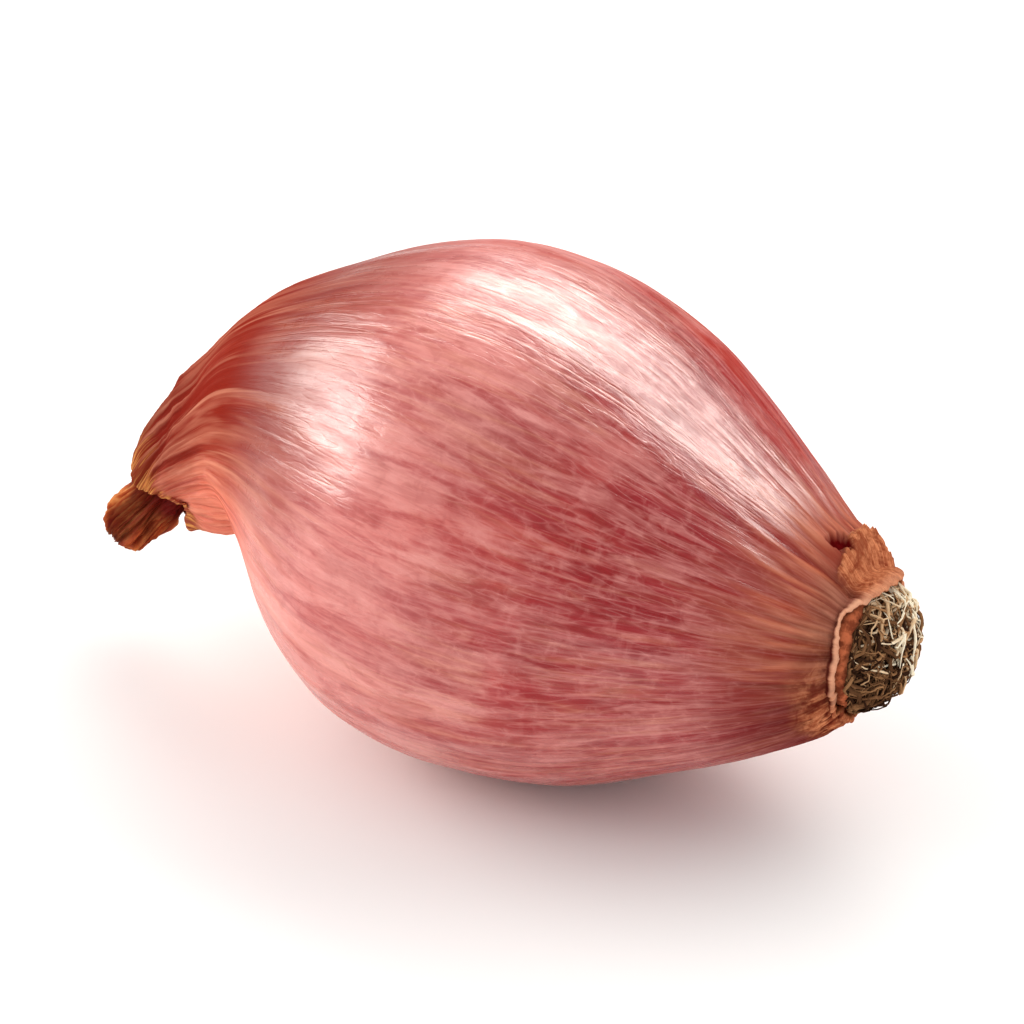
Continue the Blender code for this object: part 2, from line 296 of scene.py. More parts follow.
# The bulb's skin, with the collar round the root plate and the sheath of the neck. A place is a share of
# the line, and a turn is an angle round it: 0 on top, -pi/2 on the photograph's side. The higher a patch's
# "narrow" number, the smaller the patch.
skin = {
    "sides": 340,
    "bodySpacing": 0.38 * mm,
    "neckSpacing": 0.17 * mm,
    "closeRingsTo": 0.06,  # the rings lie close up to here, and again from neckFrom on
    "neckFrom": 0.70,
    "neckBlend": 0.03,
    "seed": 3,
    "seedShift": 7.3,
    # turns of the wave round the bulb, its share of the radius, where it crests
    "lobes": ((2, 0.010, 1.1), (3, 0.011, 0.4), (5, 0.004, 2.0)),
    # where a faint crest runs along the bulb, how narrow it is, its height
    "crests": ((-0.40, 26.0, 0.40 * mm), (1.75, 20.0, 0.25 * mm), (3.90, 30.0, 0.25 * mm)),
    "crestSpan": (0.0, 0.10, 0.36, 0.60),  # they rise between the first two places and fall between the last
    "rootFolds": 29.0,
    "rootFoldShare": 0.040,
    "rootFoldReach": 12.0 * mm,
    "rootFoldStray": 0.9,
    "neckFolds": 6.0,
    "neckFoldShare": 0.20,
    "neckFoldFrom": 0.709,
    "neckTwist": 0.9,
    "neckWander": 0.25,
    "ribDepth": 0.11 * mm,
    "ribSharpness": 3,
    "ribShares": (1.8, 1.2, 0.35),  # near the root, on the neck, everywhere
    "ribRootReach": 0.20,
    "neckZone": (0.64, 0.82),
    "wrinkleDepth": 0.50 * mm,
    "wrinkleLevel": 0.8,
    "crumpleShare": 0.5,
    "unevenDepth": 0.30 * mm,
    "furrowDepth": 0.42 * mm,
    "reliefFrom": 2.0 * mm,  # no relief on rings much smaller than this
    # the torn rims: turns of each wave, its depth, where it crests
    "tornWaves": ((3, 0.4, 0.5), (5, 0.35, 2.1), (8, 0.25, 4.0)),
    "tatter": 2.4,  # fine raggedness on top of the waves
    "sheathEnd": 0.882,
    "sheathWall": 0.5 * mm,
    "sheathDepth": 0.075,  # how far down the inside of the sheath shows
    "sheathRings": 14,
    "sheathFloor": (0.6, 0.25, 0.0),  # the rings that close its inside, as shares of the last one
    "sheathTorn": 0.9 * mm,
    "sheathWave": 0.6,
    "tornReach": 0.05,
    "tornInside": 0.8,
    "tornRim": ((0.0012, 0.15), (0.0018, 0.4), (0.0015, 0.75), (0.0, 1.0)),  # place past the end, inset
    "tornRimInner": (0.3, 0.9),
    # where the sheath is torn back (or runs on), how narrow that is, how far it goes
    "sheathTears": (
        (-1.85, 15.0, -3.6 * mm), (-0.85, 8.0, 2.6 * mm), (3.0, 4.5, 2.8 * mm), (1.5, 8.0, -1.6 * mm),
    ),
    "sheathSlope": 0.38,
    "seatRings": (0.0, 2.4 * mm, 4.4 * mm, 5.3 * mm),
    "collarHeight": 0.75 * mm,
    "collarTorn": 0.6 * mm,
    "collarTatter": 0.5,
    "collarWall": 0.50 * mm,
    # the collar's lip from inside to outside: rise as a share of its height, inset as a share of its wall
    "lip": (
        (0.0, 1.0), (0.3, 1.0), (0.6, 1.0), (0.85, 0.96), (0.96, 0.80),
        (1.0, 0.55), (0.99, 0.32), (0.92, 0.08), (0.80, -0.10), (0.65, -0.18),
        (0.50, -0.10), (0.38, 0.10), (0.28, 0.32), (0.18, 0.42), (0.08, 0.36),
    ),
    "lipInner": (0.5, 0.95),
    "lipThinning": 2.2,
    "flapTurn": 0.16,
    "flapHeight": 1.8 * mm,
    "flapNarrow": 5.0,
    "flapLean": 0.2 * mm,
    # the scale leaf that the flap belongs to, lying on the skin over the collar
    "scaleTurn": 0.42,
    "scaleNarrow": 4.0,
    "scaleReach": 2.3 * mm,
    "scaleFray": (1.6, 0.2),  # how much its reach varies, the least of it
    "scaleLeast": 0.0001,
    "scaleEdge": (0.96, 1.06, 0.0008),  # where it fades out, as shares of its reach, and a little beyond
    "scaleFade": (0.25, 0.5),
    "scaleLift": 0.60 * mm,
    "scaleFoot": 0.25,
    "scaleCrumple": 0.8,
    # the ragged pit beside it: turn from its middle, how narrow, place past it, reach, depth
    "pitTurn": 0.02,
    "pitPlace": 0.031,
    "pits": (
        (0.0, 260.0, 0.0, 0.0075, 1.0),
        (-0.07, 420.0, 0.006, 0.006, 0.7),
        (0.06, 300.0, -0.010, 0.009, 0.7),
    ),
    "pitDepth": 0.8 * mm,
    "pitJag": 1.6,  # how ragged its outline is
    "pitJagFrom": (0.05, 0.4),
    "pitEdge": (0.30, 0.80),
    # the crust of dead skin under the collar, with small holes in it
    "crustTurn": -2.45,
    "crustNarrow": 2.4,
    "crustSpan": (0.008, 0.034),
    "crustFray": (1.6, 0.6),
    "crustHeight": 1.3 * mm,
    "crustHoles": (0.50, 0.42),
    # a shallow hollow in the skin next to the scale leaf
    "sunkTurn": 0.75,
    "sunkNarrow": 3.5,
    "sunkSpan": (0.02, 0.06, 0.08, 0.20),
    "sunkDepth": 0.6 * mm,
    "mergeWithin": 0.001 * mm,
    # waves across the bulb, waves along it, detail, roughness, distortion
    "noises": {
        "tatter": (5.0, 0.0, 3.0, 0.65, 0.0),
        "wander": (1.5, 14.0, 2.0, 0.5, 0.0),
        "stray": (2.2, 3.0, 2.0, 0.5, 0.0),
        "rib": (8.0, 5.0, 3.0, 0.6, 0.4),
        "crease": (5.5, 5.0, 3.0, 0.55, 0.35),
        "crumple": (3.0, 34.0, 3.0, 0.5, 0.5),
        "uneven": (1.1, 7.0, 1.0, 0.5, 0.0),
        "furrow": (6.5, 3.2, 2.0, 0.5, 0.0),
        "fray": (4.0, 0.0, 5.0, 0.7, 0.0),
        "tissue": (9.0, 60.0, 3.0, 0.65, 0.0),
        "jag": (15.0, 120.0, 2.0, 0.7, 0.0),
        "thinning": (8.0, 0.0, 3.0, 0.5, 0.0),
    },
}
ringValues = ("place", "radius", "inset", "rise", "tear", "rootFold", "neckFold", "turn", "inner")


def rowOfRing(place, radius, **more):
    row = dict.fromkeys(ringValues, 0.0)
    row.update(place=place, radius=radius, **more)
    return row


def foldsAt(place):
    return {
        "rootFold": skin["rootFoldShare"] * (1 - ease(0, skin["rootFoldReach"] / line["length"], place)),
        "neckFold": skin["neckFoldShare"] * ease(skin["neckFoldFrom"], skin["sheathEnd"], place),
        "turn": skin["neckTwist"] * ease(skin["neckFoldFrom"], 1.0, place),
    }


# From the middle of the root seat, up the inside of the collar, along the skin, over the torn rim and
# into the neck.
def skinRows():
    rim = radiusAt(0)
    rows = [rowOfRing(line["seatDepth"] / line["length"], radius, inner=1.0) for radius in skin["seatRings"]]
    for rise, share in skin["lip"]:
        inset, inner = share * skin["collarWall"], ease(*skin["lipInner"], share)
        rows.append(rowOfRing(0.0, rim, inset=inset, rise=rise, inner=inner, **foldsAt(0)))
    end = skin["sheathEnd"]
    place = 0.0
    while place < end:
        tear = ease(end - skin["tornReach"], end, place)
        rows.append(rowOfRing(place, radiusAt(place), tear=tear, **foldsAt(place)))
        toNeck = ease(skin["neckFrom"] - skin["neckBlend"], skin["neckFrom"], place)
        wide = min(ease(0.0, skin["closeRingsTo"], place), 1 - toNeck)
        spacing = skin["neckSpacing"] + (skin["bodySpacing"] - skin["neckSpacing"]) * wide
        place += spacing / line["length"]
    wall = skin["sheathWall"]
    for past, share in skin["tornRim"]:
        inner = ease(*skin["tornRimInner"], share)
        row = rowOfRing(end + past, radiusAt(end), inset=share * wall, tear=1.0, inner=inner)
        rows.append({**row, **foldsAt(end)})
    for i in range(1, skin["sheathRings"] + 1):
        place = end - skin["sheathDepth"] * i / skin["sheathRings"]
        tear = ease(end - skin["sheathDepth"] * skin["tornInside"], end, place)
        rows.append(rowOfRing(place, radiusAt(place), inset=wall, tear=tear, inner=1.0, **foldsAt(place)))
    last = rows[-1]
    for share in skin["sheathFloor"]:
        rows.append({**last, "radius": last["radius"] * share, "inset": last["inset"] * share})
    return rows


# The rows ride on the points of a plain line of edges, where the tree samples them.
def meshOfRows(name, rows):
    mesh = bpy.data.meshes.new(name)
    points = [(i * mm, 0, 0) for i in range(len(rows))]
    edges = [(i, i + 1) for i in range(len(rows) - 1)]
    mesh.from_pydata(points, edges, [])
    for label in ringValues:
        values = mesh.attributes.new(label, "FLOAT", "POINT")
        values.data.foreach_set("value", [row[label] for row in rows])
    return mesh


# Lays a sheet of rings by sides round the middle line, then merges its seam and its poles.
def buildRings(maker, given):
    sheet = maker.add("GeometryNodeMeshGrid", None, {
        "Size X": 1.0, "Size Y": 1.0, "Vertices X": given["Rings"], "Vertices Y": given["Sides"] + 1,
    })
    across, around, _ = maker.parted(maker.add("GeometryNodeInputPosition"))
    ring = maker.maths("ROUND", (across + 0.5) * (given["Rings"] - 1))
    row = {}
    for label in ringValues:
        named = maker.add("GeometryNodeInputNamedAttribute", {"data_type": "FLOAT"}, {"Name": label})
        row[label] = maker.add(
            "GeometryNodeSampleIndex",
            {"data_type": "FLOAT", "domain": "POINT"},
            {"Geometry": given["Geometry"], "Value": named, "Index": ring},
        )
    angle = (around + 0.5) * math.tau
    cosine, sine = maker.maths("COSINE", angle), maker.maths("SINE", angle)
    shift = given["Seed"] * skin["seedShift"]

    def roundNoise(name):
        turns, along, *grain = skin["noises"][name]
        place = maker.joined(cosine * turns + shift, sine * turns, row["place"] * along)
        return maker.noise(place, grain=grain)

    def swing(name):
        return roundNoise(name) - 0.5

    def bell(turn, narrow):
        return maker.maths("EXPONENT", (1 - maker.maths("COSINE", angle - turn)) * -narrow)

    def pleats(turn, count):
        return 0.5 - maker.maths("COSINE", turn * count) * 0.5

    # how far each ring moves along the line: the torn rims and the flap
    flap = bell(skin["flapTurn"], skin["flapNarrow"])
    wave = 0.0
    for turns, depth, crest in skin["tornWaves"]:
        wave = wave + maker.maths("SINE", angle * turns + crest) * depth
    tatter = swing("tatter") * skin["tatter"]
    collar = given["Collar Height"] + given["Collar Torn"] * (wave + tatter * skin["collarTatter"])
    collar = collar + given["Flap Height"] * flap
    torn = given["Sheath Torn"] * (wave * skin["sheathWave"] + tatter)
    for turn, narrow, reach in skin["sheathTears"]:
        torn = torn + bell(turn, narrow) * given["Sheath Tears"] * reach
    torn = torn * row["tear"]
    place = row["place"] + (torn - row["rise"] * collar) / line["length"]

    # how far it stands off the line: lobes and folds
    lobed = 1.0
    for turns, depth, crest in skin["lobes"]:
        lobed = maker.maths("COSINE", angle * turns - crest) * (given["Lobing"] * depth) + lobed
    rootPleat = pleats(angle + swing("stray") * skin["rootFoldStray"], given["Root Folds"])
    neckPleat = pleats(angle + row["turn"] + swing("wander") * given["Wander"], given["Neck Folds"])
    folded = 1 - row["rootFold"] * rootPleat - row["neckFold"] * neckPleat

    # ribs, wrinkles, furrows and faint crests
    rootZone = 1 - maker.ease(0.0, skin["ribRootReach"], row["place"])
    neckZone = maker.ease(*skin["neckZone"], row["place"])
    rib = maker.crest(roundNoise("rib")) ** skin["ribSharpness"]
    atRoot, onNeck, anywhere = skin["ribShares"]
    ribHere = rib * (rootZone * atRoot + neckZone * onNeck + anywhere) * given["Rib Depth"]
    creased = maker.crest(roundNoise("crease"))
    wrinkle = creased - skin["wrinkleLevel"] + swing("crumple") * skin["crumpleShare"]
    wrinkle = wrinkle * neckZone * given["Wrinkle Depth"] * 2
    uneven = swing("uneven") * given["Uneven Depth"] * 2 + swing("furrow") * given["Furrow Depth"]
    crests = 0.0
    for turn, narrow, height in skin["crests"]:
        crests = bell(turn, narrow) * height + crests
    crests = crests * given["Lobing"] * maker.between(skin["crestSpan"], row["place"])

    # the scale leaf over the collar, the pit beside it and the crust below
    reach = skin["scaleReach"] / line["length"]
    frayMost, frayLeast = skin["scaleFray"]
    frayed = roundNoise("fray") * frayMost + frayLeast
    leaf = bell(skin["scaleTurn"], skin["scaleNarrow"]) * frayed * reach
    scaleEdge = maker.maths("MAXIMUM", leaf, skin["scaleLeast"])
    short, wide, soft = skin["scaleEdge"]
    onScale = (1 - maker.ease(scaleEdge * short, scaleEdge * wide + soft, row["place"])) * given["Lobing"]
    onScale = onScale * maker.ease(*skin["scaleFade"], scaleEdge / reach)
    toEdge = maker.maths("MINIMUM", row["place"] / scaleEdge, 1.0)
    tissue = roundNoise("tissue")
    thick = toEdge * (1 - skin["scaleFoot"]) + skin["scaleFoot"] + (tissue - 0.5) * skin["scaleCrumple"]
    scale = onScale * thick * skin["scaleLift"]
    pit = 0.0
    for turn, narrow, past, span, depth in skin["pits"]:
        spot = (row["place"] - skin["pitPlace"] - past) / span
        pit = bell(skin["pitTurn"] + turn, narrow) * maker.maths("EXPONENT", spot * spot * -1.0) * depth + pit
    jag = swing("jag") * skin["pitJag"] * maker.ease(*skin["pitJagFrom"], pit)
    pit = maker.ease(*skin["pitEdge"], pit + jag) * given["Lobing"]
    crustMost, crustLoss = skin["crustFray"]
    onCrust = 1 - maker.ease(*skin["crustSpan"], row["place"] * (crustMost - frayed * crustLoss))
    onCrust = onCrust * bell(skin["crustTurn"], skin["crustNarrow"])
    crust = onCrust * (tissue - 0.5) * given["Lobing"] * skin["crustHeight"]
    holes = onCrust * maker.ease(*skin["crustHoles"], tissue) * given["Lobing"]
    sunk = bell(skin["sunkTurn"], skin["sunkNarrow"]) * maker.between(skin["sunkSpan"], row["place"])

    thinned = swing("thinning") * row["rise"] * skin["lipThinning"] + 1.0
    inset = row["inset"] * thinned + row["rise"] * skin["flapLean"] * flap + torn * skin["sheathSlope"]
    inset = inset + sunk * given["Lobing"] * skin["sunkDepth"] + pit * skin["pitDepth"]
    shell = row["radius"] * lobed * folded - inset
    relief = ribHere + wrinkle + uneven + crests + scale + crust
    shell = shell + relief * maker.ease(0.0, skin["reliefFrom"], row["radius"])
    standOff = maker.maths("MAXIMUM", shell, 0.0)

    factor = (place + line["pastSeat"]) / (1 + line["pastSeat"] + line["pastTip"])
    path = maker.add(
        "GeometryNodeObjectInfo", {"transform_space": "ORIGINAL"}, {"Object": given["Line"]}, out="Geometry",
    )
    spine, tangent = maker.add(
        "GeometryNodeSampleCurve",
        {"mode": "FACTOR"},
        {"Curves": path, "Factor": factor},
        out=("Position", "Tangent"),
    )
    tx, _, tz = maker.parted(tangent)
    x, y, z = maker.parted(spine)
    upward = standOff * cosine
    point = maker.joined(
        x + upward * tz + given["Seat X"],
        standOff * sine + y,
        maker.maths("MAXIMUM", z - upward * tx + given["Seat Z"], 0.0),
    )
    # these are kept before the sheet is moved, because the sums above read its flat places
    kept = {
        "rib": rib,
        "valley": row["neckFold"] / skin["neckFoldShare"] * neckPleat + rootZone * rootPleat,
        "inner": row["inner"],
        "rise": row["rise"],
        "scale": maker.maths("MAXIMUM", onScale, onCrust),
        "pit": pit,
        "holes": holes,
        "tear": row["tear"],
        "crease": creased,
    }
    made = storeValue(maker, sheet, "grain", maker.joined(cosine, sine, row["place"]), "FLOAT_VECTOR")
    for label, value in kept.items():
        made = storeValue(maker, made, label, value)
    made = maker.add("GeometryNodeSetPosition", None, {"Geometry": made, "Position": point})
    made = maker.add("GeometryNodeMergeByDistance", None, {"Geometry": made, "Distance": skin["mergeWithin"]})
    return maker.add("GeometryNodeSetShadeSmooth", None, {"Geometry": made})


def ringSizes(rows, sides, material, **changes):
    sizes = {
        "Line": lineObject,
        "Rings": len(rows),
        "Sides": sides,
        "Seat X": seat.x,
        "Seat Z": seat.z,
        "Lobing": 1.0,
        "Root Folds": skin["rootFolds"],
        "Neck Folds": skin["neckFolds"],
        "Wander": skin["neckWander"],
        "Collar Height": skin["collarHeight"],
        "Collar Torn": skin["collarTorn"],
        "Flap Height": skin["flapHeight"],
        "Sheath Torn": skin["sheathTorn"],
        "Sheath Tears": 1.0,
        "Rib Depth": skin["ribDepth"],
        "Wrinkle Depth": skin["wrinkleDepth"],
        "Uneven Depth": skin["unevenDepth"],
        "Furrow Depth": skin["furrowDepth"],
        "Seed": skin["seed"],
        "Material": material,
    }
    sizes.update(changes)
    return sizes


# The dried inner leaves that come out of the neck, folded and twisted into a nub.
nub = {
    "sides": 200,
    "spacing": 0.13 * mm,
    "from": 0.845,
    "radii": (
        (0.845, 3.0 * mm), (0.898, 2.5 * mm), (0.928, 2.3 * mm),
        (0.957, 2.65 * mm), (0.981, 2.4 * mm), (1.0, 1.4 * mm),
    ),
    "foldShare": 0.38,
    "foldLost": 0.3,
    "foldLostFrom": 0.96,
    "tornFrom": 0.95,
    "leastTorn": 0.3,
    # the hollow end: place past the tip, share of the tip's radius
    "end": ((0.002, 0.93), (0.003, 0.78), (0.001, 0.62), (-0.0072, 0.5), (-0.018, 0.35), (-0.018, 0.0)),
    "sizes": {
        "Lobing": 0.0, "Wander": 1.6, "Neck Folds": 4.0, "Sheath Torn": 1.0 * mm, "Sheath Tears": 0.0,
        "Rib Depth": 0.30 * mm, "Wrinkle Depth": 0.80 * mm, "Uneven Depth": 0.9 * mm, "Seed": 8,
    },
}


def nubRows():
    rows = []
    place = nub["from"]
    rows.append(rowOfRing(place, 0.0))
    while place < 1.0:
        fold = nub["foldShare"] * (1 - nub["foldLost"] * ease(nub["foldLostFrom"], 1.0, place))
        tear = ease(nub["tornFrom"], 1.0, place)
        turn = skin["neckTwist"] * ease(skin["neckFoldFrom"], 1.0, place)
        rows.append(rowOfRing(place, through(nub["radii"], place), neckFold=fold, tear=tear, turn=turn))
        place += nub["spacing"] / line["length"]
    last = rows[-1]
    for past, share in nub["end"]:
        row = {**last, "place": 1.0 + past, "radius": last["radius"] * share}
        rows.append({**row, "tear": max(share, nub["leastTorn"]), "inner": 1 - share})
    return rows


# The dead stem at the root end, and the dry roots matted over it.
rootMat = {
    "domeRadius": 5.4 * mm,
    "edge": 0.4 * mm,
    "height": 2.5 * mm,
    "bevel": 0.1 * mm,
    "baseShare": 0.97,
    "domeRings": 40,
    "domeSides": 120,
    "domeRoughness": 0.5 * mm,
    "domeTone": 0.35,
    "hem": (0.84, 0.95),
    "count": 620,
    "steps": 12,
    "sides": 5,
    "seed": 5,
    "length": (1.6 * mm, 5.6 * mm),
    "thick": (0.06 * mm, 0.20 * mm),
    "taper": (0.55, 1.05, 0.75),  # where a strand starts to thin, where it ends, how much it loses
    "lift": (0.1 * mm, 1.1 * mm),
    "liftBy": 0.55,  # share of the strand by which it has its full lift
    "buriedTo": 0.3,  # share of the strand that comes up out of the dome
    "bow": 0.25 * mm,
    "curl": 2.4,
    "goldenTurn": 2.39996,
    "footStray": 0.3,
    "spread": 0.99,
    # which way the bare side lies, how far short of the edge the strands stay there, and how unevenly
    "bareWay": (-0.9, 0.45),
    "bareShare": 0.12,
    "raggedShare": 0.22,
    "raggedWaves": 3.0,
    "kink": 0.40 * mm,
    "kinkWaves": 3.0,
    "kinkGrain": (1.0, 0.5, 0.0),
    "tone": (-0.15, 0.66),
    # where a bunch of pale young roots sits, how narrow it is, how much paler and higher they are
    "paleSpot": (0.28, 0.40),
    "paleNarrow": 8.0,
    "paleTone": 1.3,
    "paleLift": 0.5 * mm,
    # the strands get darker from the first height above that spot to the second
    "darkFrom": (0.1, -1.3),
    "darkTone": 0.30,
    # how flat the dome gets at its rim, and how far the strands are pressed down there
    "rimRise": 0.03,
    "rimSpan": (0.72, 0.97),
    "rimPress": 0.7,
    # waves a metre, detail, roughness, distortion
    "domeNoise": (900.0, 3.0, 0.6, 0.0),
    "toneNoise": (420.0, 2.0, 0.5, 0.0),
}


def makeDomeMesh():
    bm = bmesh.new()
    sides = rootMat["domeSides"]
    base = line["plateGap"] - line["seatDepth"]
    edge, height = rootMat["edge"], rootMat["height"]
    profile = [(base, 0.0), (base, rootMat["baseShare"]), (base + rootMat["bevel"], 1.0), (edge / 2, 1.0)]
    for i in range(rootMat["domeRings"]):
        turn = 0.5 * math.pi * i / rootMat["domeRings"]
        profile.append((edge + height * math.sin(turn), math.cos(turn)))
    profile.append((edge + height, 0.0))
    loops = []
    for x, share in profile:
        radius = rootMat["domeRadius"] * share
        if radius == 0:
            loops.append([bm.verts.new((x, 0, 0))] * sides)
            continue
        angles = [math.tau * k / sides for k in range(sides)]
        loops.append([bm.verts.new((x, radius * math.sin(a), radius * math.cos(a))) for a in angles])
    for near, far in zip(loops, loops[1:]):
        for k in range(sides):
            j = (k + 1) % sides
            bm.faces.new(dict.fromkeys((near[k], near[j], far[j], far[k])))
    bmesh.ops.recalc_face_normals(bm, faces=bm.faces)
    mesh = bpy.data.meshes.new("rootPlate")
    bm.to_mesh(mesh)
    bm.free()
    return mesh


# Roughens the dome, then lays curled strands over it. Each is a short line whose points are put in place
# by sums.
def buildRootMat(maker, given):
    domeRadius = rootMat["domeRadius"]

    def drawn(low, high, salt):
        return maker.add("FunctionNodeRandomValue", {"data_type": "FLOAT"}, {
            2: low, 3: high, "Seed": given["Seed"] * 20 + salt,
        }, out=1)

    def named(label):
        return maker.add("GeometryNodeInputNamedAttribute", {"data_type": "FLOAT"}, {"Name": label})

    def placeNoise(name):
        waves, *grain = rootMat[name]
        return maker.noise(place, waves, grain)

    place = maker.add("GeometryNodeInputPosition")
    x, y, z = maker.parted(place)
    pits = (placeNoise("domeNoise") - 0.5) * maker.ease(0.0, rootMat["edge"], x)
    fromMiddle = (y * y + z * z) ** 0.5 / domeRadius
    dome = maker.add("GeometryNodeSetPosition", None, {
        "Geometry": given["Geometry"], "Offset": maker.joined(pits * given["Dome Roughness"], 0.0, 0.0),
    })
    dome = storeValue(maker, dome, "tone", placeNoise("toneNoise") * rootMat["domeTone"])
    dome = storeValue(maker, dome, "along", 0.0)
    dome = storeValue(maker, dome, "hem", maker.ease(*rootMat["hem"], fromMiddle))

    # one point for each strand, with what sets its shape and tone
    points = maker.add("GeometryNodePoints", None, {"Count": given["Count"]})
    index = maker.add("GeometryNodeInputIndex")
    outward = ((index + 0.5) / given["Count"]) ** 0.5 * given["Spread"]
    around = index * rootMat["goldenTurn"] + drawn(-rootMat["footStray"], rootMat["footStray"], 1)
    acrossDisc = outward * maker.maths("SINE", around) - rootMat["paleSpot"][0]
    upDisc = outward * maker.maths("COSINE", around) - rootMat["paleSpot"][1]
    young = maker.maths("EXPONENT", (acrossDisc * acrossDisc + upDisc * upDisc) * -rootMat["paleNarrow"])
    shaded = maker.ease(*rootMat["darkFrom"], upDisc) * rootMat["darkTone"]
    thinnest, thickest = rootMat["thick"]
    marks = {
        "outward": outward,
        "around": around,
        "heading": drawn(0.0, math.tau, 2),
        "curl": drawn(-1.0, 1.0, 3) * given["Curl"],
        "reach": drawn(*rootMat["length"], 4),
        "lift": drawn(*rootMat["lift"], 5) + young * rootMat["paleLift"],
        "thick": thinnest + (thickest - thinnest) * drawn(0.0, 1.0, 6) ** 2,
        "tone": drawn(*rootMat["tone"], 7) + young * rootMat["paleTone"] - shaded,
        "salt": drawn(0.0, 50.0, 8),
    }
    for label, value in marks.items():
        points = storeValue(maker, points, label, value)
    strand = maker.add("GeometryNodeCurvePrimitiveLine", None, {"End": (1.0, 0.0, 0.0)})
    strand = maker.add("GeometryNodeResampleCurve", None, {"Curve": strand, "Count": given["Steps"]})
    strand = storeValue(maker, strand, "along", maker.add("GeometryNodeSplineParameter", out="Factor"))
    strands = maker.add("GeometryNodeInstanceOnPoints", None, {"Points": points, "Instance": strand})
    strands = maker.add("GeometryNodeRealizeInstances", None, {"Geometry": strands})

    # the strand's way over the disc, in shares of its radius
    along = named("along")
    turned = named("heading") + named("curl") * along * 0.5
    footY = named("outward") * maker.maths("SINE", named("around"))
    footZ = named("outward") * maker.maths("COSINE", named("around"))
    reach = named("reach") / domeRadius * along
    kinkPlace = maker.joined(named("salt"), along * rootMat["kinkWaves"], named("heading"))
    otherPlace = maker.vector("ADD", kinkPlace, (9.0, 4.0, 2.0))
    kinkY, kinkZ = (maker.noise(spot, grain=rootMat["kinkGrain"]) - 0.5 for spot in (kinkPlace, otherPlace))
    kink = rootMat["kink"] / domeRadius * 4
    discY = footY + reach * maker.maths("COSINE", turned) + kinkY * kink
    discZ = footZ + reach * maker.maths("SINE", turned) + kinkZ * kink
    past = maker.maths("MAXIMUM", (discY * discY + discZ * discZ) ** 0.5, 0.01)
    bareY, bareZ = rootMat["bareWay"]
    bareSide = maker.maths("MAXIMUM", (discZ * bareZ + discY * bareY) / past, 0.0) * rootMat["bareShare"]
    waves = rootMat["raggedWaves"]
    ragged = maker.noise(maker.joined(discY / past * waves, discZ / past * waves, named("salt"))) - 0.5
    limit = given["Spread"] - bareSide + ragged * rootMat["raggedShare"]
    pull = maker.maths("MAXIMUM", past / maker.maths("MINIMUM", limit, rootMat["spread"]), 1.0)
    discY, discZ = discY / pull, discZ / pull

    # up onto the dome, and off it by the strand's own lift
    rise = maker.maths("SQRT", maker.maths("MAXIMUM", 1 - discY * discY - discZ * discZ, rootMat["rimRise"]))
    slope = maker.joined(rise / rootMat["height"], discY / domeRadius, discZ / domeRadius)
    square = maker.vector("NORMALIZE", slope)
    surface = maker.joined(rise * rootMat["height"] + rootMat["edge"], discY * domeRadius, discZ * domeRadius)
    buried = named("thick") * 2 * (1 - maker.ease(0.0, rootMat["buriedTo"], along))
    height = named("lift") * maker.ease(0.0, rootMat["liftBy"], along) - buried
    height = height + maker.maths("SINE", along * math.pi) * rootMat["bow"]
    height = height * (1 - maker.ease(*rootMat["rimSpan"], past) * rootMat["rimPress"])
    lifted = maker.add("ShaderNodeVectorMath", {"operation": "SCALE"}, {"Vector": square, "Scale": height})
    strands = maker.add("GeometryNodeSetPosition", None, {
        "Geometry": strands, "Position": maker.vector("ADD", surface, lifted),
    })
    thinFrom, thinTo, thinLoss = rootMat["taper"]
    taper = 1 - maker.ease(thinFrom, thinTo, along) * thinLoss
    ring = maker.add("GeometryNodeCurvePrimitiveCircle", None, {"Resolution": given["Sides"], "Radius": 1.0})
    tubes = maker.add("GeometryNodeCurveToMesh", None, {
        "Curve": strands, "Profile Curve": ring, "Scale": named("thick") * taper, "Fill Caps": True,
    })
    joined = maker.add("GeometryNodeJoinGeometry", None, {"Geometry": dome})
    maker.tree.links.new(tubes.socket, joined.socket.node.inputs["Geometry"])
    moved = maker.add("GeometryNodeTransform", None, {
        "Geometry": joined, "Translation": maker.joined(given["Seat X"], 0.0, given["Seat Z"]),
    })
    return maker.add("GeometryNodeSetShadeSmooth", None, {"Geometry": moved})


def colour(red, green, blue):
    def linear(value):
        value /= 255
        return value / 12.92 if value <= 0.04045 else ((value + 0.055) / 1.055) ** 2.4
    return (linear(red), linear(green), linear(blue), 1.0)


# A finish is a material whose shader takes what paint() returns. Where that names a dryness, a shader
# without sheen mixes in.
def finish(name, constants, paint):
    material = bpy.data.materials.new(name)
    material.use_nodes = True
    tree = material.node_tree
    shader = tree.nodes["Principled BSDF"]
    for label, value in constants.items():
        shader.inputs[label].default_value = value
    maker = NodeMaker(tree)
    given = paint(maker)
    dryness = given.pop("Dryness", None)
    for label, wire in given.items():
        tree.links.new(wire.socket, shader.inputs[label])
    if dryness:
        dull = maker.add("ShaderNodeBsdfPrincipled", None, {**given, "Specular IOR Level": 0.0})
        shiny = Wire(maker, shader.outputs["BSDF"])
        both = maker.add("ShaderNodeMixShader", None, {0: dryness, 1: shiny, 2: dull})
        tree.links.new(both.socket, tree.nodes["Material Output"].inputs["Surface"])
    print(f"{name}: finish made")
    return material


def mixed(maker, factor, first, second):
    return maker.add("ShaderNodeMix", {"data_type": "RGBA"}, {0: factor, 6: first, 7: second}, out=2)


def attribute(maker, label, out="Fac"):
    return maker.add("ShaderNodeAttribute", {"attribute_name": label}, out=out)


